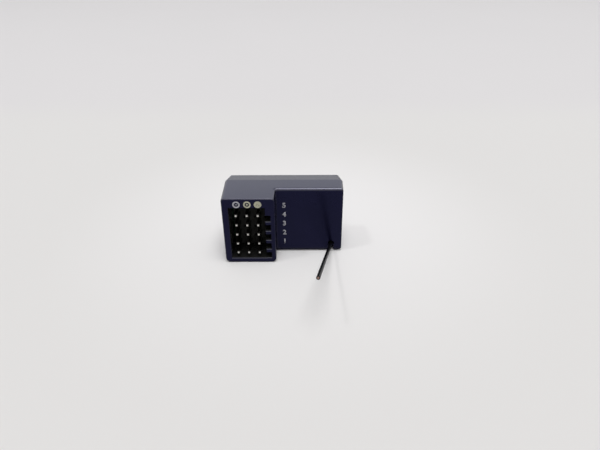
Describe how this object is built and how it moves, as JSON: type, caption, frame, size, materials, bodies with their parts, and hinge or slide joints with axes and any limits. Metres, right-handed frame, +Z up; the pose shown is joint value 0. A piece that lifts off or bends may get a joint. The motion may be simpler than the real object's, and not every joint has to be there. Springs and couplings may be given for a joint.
{
  "type": "rc receiver",
  "caption": "Small radio receiver for model cars: a stepped two-part case with a pin field in a keyed plug pocket and a short stiff aerial wire.",
  "frame": {"origin": "middle of the foot, the long narrow side that the case stands on as pictured, at the level of the surface below it", "axes": "+X across the case's width, away from the plug tower; +Y from the tower's face to the rear cover; +Z up from the foot"},
  "size_m": [0.0286, 0.0378, 0.0175],
  "materials": {
    "case_plastic": "gloss",
    "strip_plastic": "matte",
    "pin_metal": "satin, tin plated",
    "solder": "satin",
    "board": "satin",
    "chip_plastic": "matte",
    "can_metal": "satin",
    "lamp": "gloss",
    "ceramic": "matte",
    "wire_jacket": "satin",
    "copper": "satin"
  },
  "bodies": {
    "root": {"front_housing": "case_plastic", "rear_cover": "case_plastic", "negative_strip": "strip_plastic", "positive_strip": "strip_plastic", "signal_strip": "strip_plastic", "negative_pin_1": "pin_metal", "negative_pin_2": "pin_metal", "negative_pin_3": "pin_metal", "negative_pin_4": "pin_metal", "negative_pin_5": "pin_metal", "positive_pin_1": "pin_metal", "positive_pin_2": "pin_metal", "positive_pin_3": "pin_metal", "positive_pin_4": "pin_metal", "positive_pin_5": "pin_metal", "signal_pin_1": "pin_metal", "signal_pin_2": "pin_metal", "signal_pin_3": "pin_metal", "signal_pin_4": "pin_metal", "signal_pin_5": "pin_metal", "pin_solder": "solder", "circuit_board": "board", "radio_chip": "chip_plastic", "crystal_can": "can_metal", "status_led": "lamp", "logic_chip": "chip_plastic", "logic_chip_leads": "solder", "voltage_regulator": "chip_plastic", "regulator_leads": "solder", "input_capacitor": "ceramic", "output_capacitor": "ceramic", "tuning_capacitors": "ceramic", "filter_capacitors": "ceramic", "pull_up_resistors": "chip_plastic", "antenna_wire": "wire_jacket", "antenna_core": "copper", "antenna_solder": "solder"}
  },
  "joints": []
}
